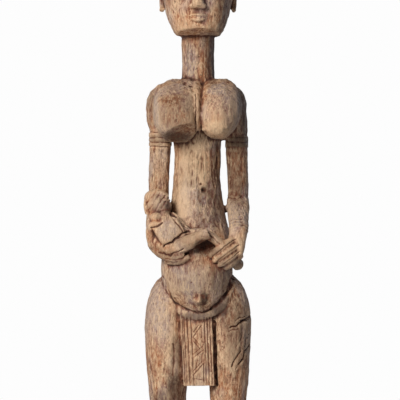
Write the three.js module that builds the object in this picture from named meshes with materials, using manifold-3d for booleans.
// A standing mother with her child across her arms, carved in one block from a single hardwood log.
// The whole carving, from the low round base to the crest of the hair, is one piece of wood, so it
// is one mesh. Units are millimetres, +Z is up, the figure faces -Y and +X is at the viewer's right.
// The origin is the middle of the underside of the base.
import * as THREE from "three";
import { mergeVertices } from "three/addons/utils/BufferGeometryUtils.js";
import Module from "manifold-3d";

const wasm = await Module();
wasm.setup();

// Heights above the ground of the marks that the carver worked to.
const level = {
  baseTop: 36,
  ankle: 64,
  calf: 146,
  knee: 228,
  apronHem: 357,
  crotch: 402,
  hip: 474,
  belt: 486,
  navel: 520,
  belly: 562,
  waist: 634,
  elbow: 696,
  armband: 812,
  shoulder: 886,
  neckFoot: 922,
  chin: 1003,
  eye: 1082,
  hairline: 1122,
  crown: 1158,
  crest: 1200,
};

// Half widths across X.
const half = {
  base: 106,
  ankle: 18.5,
  calf: 28,
  knee: 27,
  thigh: 42,
  trunk: 43,
  belly: 66,
  shoulder: 93,
  arm: 19,
  neck: 30,
  jaw: 45,
  head: 65,
};

// How far the legs and the upper arms stand from the middle.
const legOut = 56;
const armOut = 72;

// Turns a three.js geometry into a solid that can be joined and cut.
function solid(geometry) {
  const bare = geometry.clone();
  bare.deleteAttribute("normal");
  bare.deleteAttribute("uv");
  const merged = mergeVertices(bare, 1e-4);
  const triVerts = new Uint32Array(merged.index.array);
  const vertProperties = new Float32Array(merged.attributes.position.array);
  const made = new wasm.Manifold(
    new wasm.Mesh({ numProp: 3, vertProperties, triVerts }),
  );
  if (made.volume() > 0) return made;
  for (let i = 0; i < triVerts.length; i += 3) {
    [triVerts[i + 1], triVerts[i + 2]] = [triVerts[i + 2], triVerts[i + 1]];
  }
  return new wasm.Manifold(new wasm.Mesh({ numProp: 3, vertProperties, triVerts }));
}

const join = (parts) => wasm.Manifold.union(parts);

// Closes a skin over rings of equal point counts, with a flat cap at both ends.
function skin(rings) {
  const count = rings[0].length;
  const points = rings.flat();
  const faces = [];
  for (let r = 0; r + 1 < rings.length; r++) {
    for (let i = 0; i < count; i++) {
      const a = r * count + i;
      const b = r * count + ((i + 1) % count);
      faces.push(a, b, b + count, a, b + count, a + count);
    }
  }
  const last = (rings.length - 1) * count;
  for (const [start, turn] of [[0, -1], [last, 1]]) {
    const middle = new THREE.Vector3();
    for (let i = 0; i < count; i++) middle.addScaledVector(points[start + i], 1 / count);
    points.push(middle);
    for (let i = 0; i < count; i++) {
      const a = start + i;
      const b = start + ((i + 1) % count);
      faces.push(...(turn > 0 ? [a, b, points.length - 1] : [b, a, points.length - 1]));
    }
  }
  return new THREE.BufferGeometry().setFromPoints(points).setIndex(faces);
}

// A cubic spline that starts at the first station, ends at the last and is drawn to those between.
function alongStations(stations, t) {
  const padded = [stations[0], stations[0], ...stations, stations.at(-1), stations.at(-1)];
  const spans = padded.length - 3;
  const place = Math.min(t * spans, spans - 1e-9);
  const span = Math.floor(place);
  const u = place - span;
  const weights = [
    (1 - u) ** 3,
    3 * u ** 3 - 6 * u ** 2 + 4,
    -3 * u ** 3 + 3 * u ** 2 + 3 * u + 1,
    u ** 3,
  ];
  return stations[0].map((_, k) =>
    weights.reduce((sum, w, i) => sum + (w * padded[span + i][k]) / 6, 0),
  );
}

// A carved form through stations of [x, y, z, half width, half depth]. Level forms keep their
// sections horizontal, others turn them across the path with the width laid along `across`.
// A square above 2 fills the corners of the round section.
function form(stations, { sides = 12, steps = 8, square = 2, across = null } = {}) {
  const rings = [];
  for (let s = 0; s <= steps; s++) {
    const t = s / steps;
    const [x, y, z, wide, deep] = alongStations(stations, t);
    const wideAxis = new THREE.Vector3(1, 0, 0);
    const deepAxis = new THREE.Vector3(0, 1, 0);
    if (across) {
      const before = new THREE.Vector3(...alongStations(stations, Math.max(0, t - 0.01)));
      const after = new THREE.Vector3(...alongStations(stations, Math.min(1, t + 0.01)));
      const way = after.sub(before).normalize();
      wideAxis.copy(across).addScaledVector(way, -across.dot(way)).normalize();
      deepAxis.crossVectors(way, wideAxis);
    }
    const ring = [];
    for (let i = 0; i < sides; i++) {
      const angle = (i / sides) * 2 * Math.PI;
      const bend = (v) => Math.sign(v) * Math.abs(v) ** (2 / square);
      ring.push(
        new THREE.Vector3(x, y, z)
          .addScaledVector(wideAxis, wide * bend(Math.cos(angle)))
          .addScaledVector(deepAxis, deep * bend(Math.sin(angle))),
      );
    }
    rings.push(ring);
  }
  return solid(skin(rings));
}

const acrossX = new THREE.Vector3(1, 0, 0);
const acrossY = new THREE.Vector3(0, 1, 0);
const acrossZ = new THREE.Vector3(0, 0, 1);
const outFront = new THREE.Vector3(0, -1, 0);

// A rounded lump: a sphere drawn out to three half sizes, turned and set in place.
function lump([x, y, z], [rx, ry, rz], { sides = 12, turn = [0, 0, 0] } = {}) {
  const ball = new THREE.SphereGeometry(1, sides, Math.ceil(sides / 2));
  ball.scale(rx, ry, rz);
  ball.rotateX(turn[0]).rotateY(turn[1]).rotateZ(turn[2]);
  ball.translate(x, y, z);
  return solid(ball);
}

// A long bar laid between two points, used for the chisel cuts. Its section is a kite that stands
// on a corner, so that it leaves a V.
function chisel(from, to, wide, deep, outward) {
  const a = new THREE.Vector3(...from);
  const b = new THREE.Vector3(...to);
  const way = b.clone().sub(a).normalize();
  const out = outward.clone().addScaledVector(way, -outward.dot(way)).normalize();
  const side = new THREE.Vector3().crossVectors(way, out);
  const corner = (p, sideways, outwards) =>
    p.clone().addScaledVector(side, sideways * wide).addScaledVector(out, outwards * deep);
  const ring = (p) => [corner(p, 1, 0.3), corner(p, 0, -1), corner(p, -1, 0.3), corner(p, 0, 1.4)];
  return solid(skin([ring(a), ring(b)]));
}

// A box turned about X and then Y, for flat facets.
function block([x, y, z], [wide, deep, tall], turnX = 0, turnY = 0) {
  const box = new THREE.BoxGeometry(wide, deep, tall);
  box.rotateX(turnX).rotateY(turnY);
  box.translate(x, y, z);
  return solid(box);
}

// A low drum, left with the flats of the adze round its edge.
function base() {
  const edge = 5;
  const profile = [
    new THREE.Vector2(0, 0),
    new THREE.Vector2(half.base - edge, 0),
    new THREE.Vector2(half.base, edge),
    new THREE.Vector2(half.base - 2, level.baseTop - edge),
    new THREE.Vector2(half.base - edge - 3, level.baseTop),
    new THREE.Vector2(0, level.baseTop),
  ];
  return solid(new THREE.LatheGeometry(profile, 24).rotateX(Math.PI / 2));
}

// One leg with its foot and knee. The side is -1 at the viewer's left and 1 at the right.
function leg(side) {
  const at = (x, ...rest) => [side * x, ...rest];
  const limb = form(
    [
      at(legOut - 14, 12, level.baseTop - 6, half.ankle + 2, 22),
      at(legOut - 14, 12, level.ankle, half.ankle, 20),
      at(legOut - 12, 20, level.calf - 44, half.calf - 6, 26),
      at(legOut - 10, 24, level.calf, half.calf, 33),
      at(legOut - 8, 8, level.knee - 38, half.knee - 2, 28),
      at(legOut - 6, -10, level.knee, half.knee + 1, 30),
      at(legOut - 3, -14, level.knee + 36, half.knee + 1, 33),
      at(legOut, -8, 322, 33, 41),
      at(legOut + 0.5, -2, level.crotch - 14, 39, 50),
      at(legOut, 2, level.crotch + 32, half.thigh + side * 0.6, 56),
      at(legOut, 4, level.hip, half.thigh + 0.8 + side, 60),
      at(legOut - 3, 6, level.hip + 42, half.thigh - 1, 58),
      at(legOut - 9, 6, level.hip + 74, 32, 46),
      at(legOut - 16, 6, level.hip + 91, 14, 24),
    ],
    { sides: 12, steps: 13, square: 2.25 },
  );
  const kneecap = lump(at(legOut - 6, -33, level.knee + 4), [17, 9, 20], { sides: 6 });
  return join([limb, kneecap, foot(side)]);
}

function foot(side) {
  const at = (x, ...rest) => [side * (legOut - 14 + x), ...rest];
  const top = level.baseTop;
  const sole = form(
    [
      at(-2, 44, top + 7, 14, 10),
      at(-1, 36, top + 11, 19, 15),
      at(0, 6, top + 14, 19, 19),
      at(3, -34, top + 10, 22, 15),
      at(6, -62, top + 6, 25, 11),
      at(7, -78, top + 4, 23, 8),
    ],
    { sides: 8, steps: 5, square: 2.8, across: acrossX },
  );
  const toes = [];
  const pitch = 10;
  for (const place of [-1, 0, 1]) {
    const [x] = at(6 + place * pitch);
    toes.push(chisel([x, -90, top + 9], [x, -54, top + 18], 2.4, 6, acrossZ));
  }
  return sole.subtract(join(toes));
}

// The hips are one mass behind the belly, parted below by a deep cut into two firm round seats.
function hips() {
  const mass = form(
    [
      [0, 12, level.hip + 92, 48, 30],
      [0, 14, level.hip + 80, 66, 40],
      [0, 19, level.hip + 48, 82, 52],
      [0, 26, level.hip + 10, 91, 60],
      [0, 29, level.hip - 26, 93, 61],
      [0, 20, level.crotch + 18, 84, 54],
      [0, 4, level.crotch - 4, 60, 40],
      [0, 2, level.crotch - 14, 30, 30],
    ],
    { sides: 16, steps: 8, square: 2.6 },
  );
  const cleft = chisel([0, 93, level.hip + 30], [0, 62, level.crotch - 30], 12, 22, acrossY);
  return mass.subtract(cleft);
}

// The column of the trunk swells into the belly. A furrow marks the spine behind, and an old knot
// has fallen out in front.
function trunk() {
  const column = form(
    [
      [-2, 4, level.neckFoot - 4, 34, 28],
      [-3, 5, level.shoulder, 56, 38],
      [-2, 4, 840, 50, 38],
      [-1, 3, 800, half.trunk, 38],
      [-1, 2, 740, half.trunk - 0.5, 38],
      [0, 0, 700, 45.5, 41],
      [0, -5, 664, 52, 46],
      [0, -12, level.waist, 60, 54],
      [-2, -19, 596, half.belly, 62],
      [-2, -22, level.belly, half.belly + 1, 68],
      [-2, -22, 534, 63, 66],
      [0, -21, 510, 51, 54],
      [0, -20, 493, 30, 33],
    ],
    { sides: 16, steps: 13, square: 2.1 },
  );
  const spine = chisel([-1, 47, 890], [-1, 46, 600], 9, 6, acrossY);
  const knot = lump([11, -38, 716], [5, 7, 6], { sides: 6 });
  return column.subtract(join([spine, knot]));
}

// The navel stands out as a small lozenge with four facets.
function navel() {
  const point = new THREE.ConeGeometry(11, 22, 4).rotateX(Math.PI / 2).scale(1, 1, 1.3);
  point.rotateX(0.3).translate(7, -77, level.navel + 1);
  return solid(point);
}

function shoulders() {
  const x = -3;
  return form(
    [
      [x, 6, level.neckFoot, 32, 26],
      [x, 6, level.neckFoot - 5, 60, 33],
      [x, 6, level.neckFoot - 16, 82, 38],
      [x, 6, level.shoulder, half.shoulder + 1, 39],
      [x, 6, level.shoulder - 34, half.shoulder + 0.5, 38],
      [x, 7, level.shoulder - 60, half.shoulder - 3, 34],
      [x, 8, level.armband + 8, 66, 30],
      [x, 8, level.armband - 8, 40, 26],
    ],
    { sides: 16, steps: 7, square: 2.7 },
  );
}

// A heavy breast hangs from the shoulder and leans out over a facet cut flat below it.
function breast(side, inner, outer, bottom, square, undercut) {
  const x = (inner + outer) / 2;
  const wide = Math.abs(outer - inner) / 2;
  const lobe = form(
    [
      [x, -8, level.neckFoot - 2, wide * 0.45, 18],
      [x, -14, level.neckFoot - 9, wide * 0.8, 28],
      [x, -26, level.neckFoot - 26, wide * 1.02, 42],
      [x, -38, level.shoulder - 16, wide * 1.06, 50],
      [x, -46, level.shoulder - 40, wide * 1.05, 53],
      [x, -47, bottom + 18, wide * 1.01, 50],
      [x + side, -44, bottom + 3, wide * 0.84, 40],
      [x + side * 2, -40, bottom - 3, wide * 0.5, 26],
    ],
    { sides: 14, steps: 8, square },
  );
  const facet = block([x, -110, bottom - 18], [120, 130, 40], undercut);
  const teat = lump([x + side * 14, -95, bottom + 24], [6, 7, 6], { sides: 6 });
  return lobe.subtract(facet).add(teat);
}

// The neck is a straight post with long chisel flats.
function neck() {
  return form(
    [
      [0, 4, level.neckFoot - 22, half.neck + 4, 34],
      [0, 4, level.neckFoot, half.neck + 1, 33],
      [0, 3, 960, half.neck, 31],
      [0, 2, level.chin, half.neck + 0.5, 31],
      [0, 2, level.chin + 22, half.neck, 31],
    ],
    { sides: 10, steps: 2, square: 2.3 },
  );
}

// Low ridges carved round a limb, one above another. The tilt leans their axis forward below.
function ringsOn([x, y, z], wide, deep, { count = 3, pitch = 8.5, proud = 2.6, tilt = 0 } = {}) {
  const bottom = (-count / 2) * pitch;
  const profile = [new THREE.Vector2(0, bottom), new THREE.Vector2(1, bottom)];
  for (let i = 0; i < count; i++) {
    profile.push(new THREE.Vector2(1 + proud / wide, bottom + (i + 0.5) * pitch));
    profile.push(new THREE.Vector2(1, bottom + (i + 1) * pitch));
  }
  profile.push(new THREE.Vector2(0, -bottom));
  const bands = new THREE.LatheGeometry(profile, 10).rotateX(Math.PI / 2);
  bands.scale(wide, deep, 1).rotateX(-tilt).translate(x, y, z);
  return solid(bands);
}

function upperArm(side, x, armband) {
  const limb = form(
    [
      [x, 6, level.shoulder + 4, half.arm + 1, 26],
      [x, 7, level.shoulder - 40, half.arm + 2.5, 27],
      [x, 8, armband, half.arm + 1.5, 23],
      [x + side, 9, 775, half.arm + 1, 20],
      [x + side * 2, 9, 735, half.arm, 20],
      [x + side * 3, 8, level.elbow + 4, half.arm + 0.5, 22],
      [x + side * 2, 4, level.elbow - 22, half.arm - 3, 17],
    ],
    { sides: 10, steps: 6, square: 2.2 },
  );
  return limb.add(ringsOn([x - side, 8, armband], half.arm + 3, 26, { proud: 2.2 }));
}

// The forearm at the viewer's right comes down and forward to a wrist with three bracelets.
function rightForearm() {
  const x = armOut + 2;
  const limb = form(
    [
      [x, 10, level.elbow + 8, 20, 20],
      [x, -2, level.elbow - 8, 21.5, 20],
      [x, -24, 668, 20, 18],
      [x, -42, 647, 18, 15],
      [x, -52, 630, 16, 13],
      [x - 6, -56, 612, 15, 11],
    ],
    { sides: 10, steps: 6, square: 2.2, across: acrossX },
  );
  return limb.add(ringsOn([x, -38, 650], 20, 18.5, { pitch: 7.5, proud: 1.6, tilt: 0.62 }));
}

// Four long fingers lie close together over the belly, each an arc from the knuckle to the tip.
function rightHand() {
  const palm = form(
    [
      [armOut + 2, -48, 644, 15, 12],
      [armOut - 1, -56, 624, 17, 14],
      [armOut - 3, -58, 604, 16, 14],
      [armOut - 8, -54, 590, 13, 11],
    ],
    { sides: 8, steps: 4, square: 2.4, across: acrossX },
  );
  const fingers = [
    { root: [64, -62, 626], middle: [44, -79, 613], tip: [24, -84, 598] },
    { root: [73, -62, 617], middle: [52, -77, 603], tip: [31, -82, 589] },
    { root: [77, -58, 607], middle: [59, -72, 593], tip: [41, -77, 581] },
    { root: [79, -52, 597], middle: [66, -64, 585], tip: [52, -70, 575] },
  ];
  const thick = 6.8;
  return join([
    palm,
    ...fingers.map(({ root, middle, tip }) =>
      form(
        [
          [...root, thick, thick],
          [...middle, thick + 1.2, thick + 1],
          [...middle, thick + 1, thick + 1],
          [...tip, thick + 0.4, thick],
          [tip[0] - 4, tip[1] + 2, tip[2] - 2, thick * 0.55, thick * 0.6],
        ],
        { sides: 7, steps: 4, across: acrossZ },
      ),
    ),
  ]);
}

// The arm at the viewer's left cradles the child: elbow out, forearm swept below it to the middle.
function cradlingArm() {
  const limb = form(
    [
      [-armOut - 1, 12, level.elbow + 8, 19, 20],
      [-armOut - 3, 0, level.elbow - 22, 24, 21],
      [-armOut - 1, -22, 642, 27, 23],
      [-armOut + 8, -48, 609, 24, 20],
      [-38, -76, 603, 16, 15],
      [-14, -88, 618, 15, 13],
      [6, -93, 632, 13, 12],
      [19, -92, 640, 9, 9],
    ],
    { sides: 10, steps: 10, square: 2.3, across: acrossY },
  );
  const knuckles = [-1, 0, 1].map((i) =>
    chisel([-2 + i * 2, -110, 630 - i * 8], [21 + i, -108, 641 - i * 7], 1.4, 4.5, outFront),
  );
  return limb.subtract(join(knuckles));
}

function childHead() {
  const turn = [0.2, 0.45, 0];
  const skull = lump([-76, -44, 691], [22, 24, 24], { sides: 8, turn });
  const cap = lump([-79, -39, 696], [20, 24, 21], { sides: 8, turn });
  const face = lump([-63, -56, 681], [11, 13, 13], { sides: 7, turn });
  const nose = lump([-57, -68, 683], [3, 5, 6], { sides: 6, turn });
  const brow = lump([-59, -63, 691], [10, 5, 3], { sides: 6, turn });
  const crest = form(
    [
      [-56, -54, 704, 4, 4],
      [-62, -54, 711, 6, 6],
      [-78, -50, 717, 8, 7],
      [-93, -46, 707, 8, 7],
      [-97, -44, 688, 8, 7],
      [-94, -44, 668, 6, 5],
    ],
    { sides: 6, steps: 6, across: acrossY },
  );
  return join([skull, cap, face, nose, brow, crest]);
}

// The child lies across the arm with its head at the viewer's left and one foot at the far right.
function child() {
  const acrossBack = new THREE.Vector3(0.8, 0, 0.6);
  const neckStem = form(
    [
      [-76, -48, 684, 11, 12],
      [-77, -52, 668, 13, 13],
      [-76, -54, 652, 14, 14],
    ],
    { sides: 8, steps: 2 },
  );
  const body = form(
    [
      [-71, -48, 668, 12, 9],
      [-68, -54, 662, 21, 16],
      [-60, -62, 648, 22, 19],
      [-50, -68, 630, 22, 18],
      [-44, -66, 619, 17, 12],
    ],
    { sides: 12, steps: 4, square: 3.4, across: acrossBack },
  );
  const nearArm = form(
    [
      [-62, -70, 664, 5, 5],
      [-74, -72, 659, 7.5, 7],
      [-85, -64, 652, 9, 9],
      [-87, -52, 634, 9, 10],
      [-80, -50, 612, 9, 9],
    ],
    { sides: 6, steps: 5, across: acrossX },
  );
  const farArm = form(
    [
      [-58, -60, 660, 7, 7],
      [-49, -62, 670, 7, 7],
      [-40, -62, 664, 7, 6],
      [-28, -63, 648, 8, 5],
      [-21, -64, 637, 8, 4],
    ],
    { sides: 6, steps: 5, across: acrossY },
  );
  const nearLeg = form(
    [
      [-78, -38, 612, 13, 13],
      [-68, -62, 591, 12, 11],
      [-46, -77, 586, 9, 9.5],
      [-28, -84, 591, 8, 8],
      [-17, -84, 598, 6, 6],
    ],
    { sides: 6, steps: 5, across: acrossY },
  );
  const farLeg = form(
    [
      [-30, -60, 628, 12, 11],
      [4, -68, 644, 11, 10],
      [24, -76, 638, 10, 9],
      [42, -74, 622, 9, 9],
      [60, -60, 602, 10, 10],
      [71, -52, 586, 10, 11],
    ],
    { sides: 6, steps: 6, across: acrossY },
  );
  const heel = lump([72, -46, 580], [11, 14, 11], { sides: 8, turn: [0, 0.5, 0] });
  return join([childHead(), neckStem, body, nearArm, farArm, nearLeg, farLeg, heel]);
}

// The cord of the cloth runs below the belly and up over the hips to the small of the back.
function belt() {
  const thick = 8;
  const path = [
    [0, -63, level.belt],
    [26, -59, level.belt + 3],
    [48, -46, level.belt + 17],
    [63, -26, level.belt + 42],
    [66, 4, level.belt + 64],
    [46, 36, level.belt + 76],
    [0, 44, level.belt + 80],
  ];
  const otherSide = path.slice(1, -1).reverse().map(([x, y, z]) => [-x, y, z]);
  const points = [...path, ...otherSide].map((p) => new THREE.Vector3(...p));
  const section = new THREE.Shape().absellipse(0, 0, thick, thick, 0, 2 * Math.PI);
  return solid(
    new THREE.ExtrudeGeometry(section, {
      steps: 20,
      curveSegments: 3,
      extrudePath: new THREE.CatmullRomCurve3(points, true),
    }),
  );
}

// The cloth that hangs in front has ridges down both sides of a panel with slanting double cuts.
function apron() {
  const width = 63;
  const left = -32;
  const front = -54;
  const back = -28;
  const groove = 3;
  const ridges = 3;
  const ridgePitch = 6.2;
  const border = [];
  for (let i = 0; i <= ridges; i++) {
    border.push([i * ridgePitch, front], [i * ridgePitch + ridgePitch * 0.6, front]);
    if (i < ridges) border.push([(i + 0.8) * ridgePitch, front + groove]);
  }
  const otherBorder = border.map(([x, y]) => [width - x, y]);
  const section = new THREE.Shape();
  section.moveTo(left, back);
  section.lineTo(left + width, back);
  for (const [x, y] of [...otherBorder, ...border.reverse()]) section.lineTo(left + x, y);
  const tall = level.belt - level.apronHem + 4;
  const cloth = new THREE.ExtrudeGeometry(section, { depth: tall, bevelEnabled: false });
  cloth.translate(0, 0, level.apronHem);
  const panelLeft = left + ridges * ridgePitch + 4.5;
  const panelRight = left + width - ridges * ridgePitch - 4.5;
  const cut = (z, rise) =>
    chisel([panelLeft, front, z], [panelRight, front, z + rise], 1.4, 2.6, outFront);
  const cuts = [];
  const pitch = 38;
  for (let i = 0; i < 3; i++) {
    const z = level.apronHem + 10 + i * pitch;
    cuts.push(cut(z, 26), cut(z + 6, 26), cut(z + 34, -24 + 18 * (i % 2)));
  }
  return solid(cloth).subtract(join(cuts));
}

// The face is a plain, calm one: eyes half way up the head, the nose to a quarter, the mouth below.
function head() {
  const skull = form(
    [
      [0, -22, level.chin - 2, half.jaw - 6, 42],
      [0, -23, level.chin + 5, half.jaw + 2, 48],
      [0, -18, level.chin + 28, half.jaw + 10, 57],
      [0, -10, level.chin + 50, half.head - 4, 67],
      [0, -4, level.eye, half.head + 1, 75],
      [0, 0, 1112, half.head, 75],
      [0, 2, 1138, half.head - 12, 66],
      [0, 3, level.crown - 4, 30, 38],
    ],
    { sides: 12, steps: 8, square: 2.4 },
  );
  const underJaw = block([0, -64, level.chin - 26], [200, 110, 60], -0.3);
  const sockets = [];
  const features = [];
  for (const side of [-1, 1]) {
    sockets.push(lump([side * 28, -92, level.eye - 2], [21, 18, 15], { sides: 8 }));
    features.push(lump([side * 27, -70, level.eye - 2], [13, 8, 6.5], { sides: 8 }));
    features.push(ear(side));
  }
  const nose = form(
    [
      [0, -74, 1110, 6, 8],
      [0, -79, 1090, 6.5, 8],
      [0, -83, 1068, 8, 10],
      [0, -84, 1052, 13, 12],
      [0, -80, 1045, 11, 8],
    ],
    { sides: 6, steps: 5, square: 2.4 },
  );
  const upperLip = lump([0, -75, 1034], [17, 8, 4.6], { sides: 8 });
  const lowerLip = lump([0, -74, 1026.5], [14, 8, 4.4], { sides: 8 });
  features.push(nose, upperLip, lowerLip);
  return skull.subtract(underJaw).subtract(join(sockets)).add(join(features));
}

function ear(side) {
  const at = (x, ...rest) => [side * (half.head + x), ...rest];
  return form(
    [
      at(0, -6, 1092, 4, 4),
      at(2, 4, 1100, 6, 6),
      at(3, 16, 1094, 6, 6),
      at(3, 20, 1076, 6, 6),
      at(2, 14, 1058, 6, 6),
      at(2, 6, 1050, 5, 5),
    ],
    { sides: 6, steps: 5, across: acrossX },
  );
}

// The hair is a close cap with plaits that run back in ridges, under a tall crest.
function hair() {
  const cap = (proud) =>
    form(
      [
        [0, 14, 1046, 44 + proud, 50 + proud],
        [0, 10, 1062, half.head - 4 + proud, 66 + proud],
        [0, 6, 1090, half.head + 3 + proud, 76 + proud],
        [0, 2, 1116, half.head + 3 + proud, 79 + proud],
        [0, 2, 1140, half.head - 9 + proud, 70 + proud],
        [0, 3, level.crown + 1 + proud, 34, 42],
      ],
      { sides: 12, steps: 5, square: 2.4 },
    );
  const aboveBrow = block([0, -120, 1092], [200, 200, 110], -0.42);
  const nape = block([0, 110, 1046], [200, 200, 40], 0.1);
  const plaitWide = 13;
  const slabs = [];
  for (const side of [-1, 1]) {
    for (const out of [30, 52]) {
      slabs.push(block([side * out, 0, 1120], [plaitWide, 220, 180], 0, side * 0.06));
    }
  }
  const plaits = cap(5).intersect(join(slabs));
  const crest = form(
    [
      [0, -70, level.hairline - 2, 10, 8],
      [0, -64, level.hairline + 26, 14, 16],
      [0, -40, level.crown + 13, 15, 20],
      [0, -4, level.crest - 10.7, 16, 22],
      [0, 36, level.crown + 15, 16, 20],
      [0, 66, level.crown - 18, 15, 18],
      [0, 80, level.crown - 56, 13, 14],
      [0, 70, level.crown - 98, 11, 8],
    ],
    { sides: 8, steps: 8, square: 2.4, across: acrossX },
  );
  return join([cap(0), plaits]).subtract(join([aboveBrow, nape])).add(crest);
}

// Old splits open across the thigh at the viewer's right.
function splits() {
  const outRight = new THREE.Vector3(1, -0.9, 0).normalize();
  return join([
    chisel([66, -50, 462], [101, -26, 484], 3, 9, outRight),
    chisel([70, -46, 380], [92, -38, 418], 3, 9, outRight),
    chisel([82, -42, 384], [100, -20, 430], 3.5, 10, outRight),
  ]);
}

function figure() {
  const parts = [base(), leg(-1), leg(1), hips(), trunk(), navel(), shoulders(), neck()];
  parts.push(head(), hair(), belt(), apron(), child(), cradlingArm(), rightForearm(), rightHand());
  parts.push(breast(-1, -3, -84, 808, 3, 0.5), breast(1, -1, 81, 806, 2.4, 0.28));
  parts.push(upperArm(-1, 2 - armOut, level.armband + 2), upperArm(1, armOut, level.armband - 4));
  return join(parts).subtract(splits());
}

const whole = figure();
const mesh = whole.getMesh();
const geometry = new THREE.BufferGeometry();
geometry.setAttribute("position", new THREE.BufferAttribute(mesh.vertProperties, 3));
geometry.setIndex(new THREE.BufferAttribute(mesh.triVerts, 1));
geometry.computeVertexNormals();

const wood = new THREE.MeshStandardMaterial({ color: 0x9a7350, roughness: 0.75, metalness: 0 });
const carving = new THREE.Mesh(geometry, wood);
carving.name = "carved_figure";

const sculpture = new THREE.Group();
sculpture.add(carving);

export default sculpture;
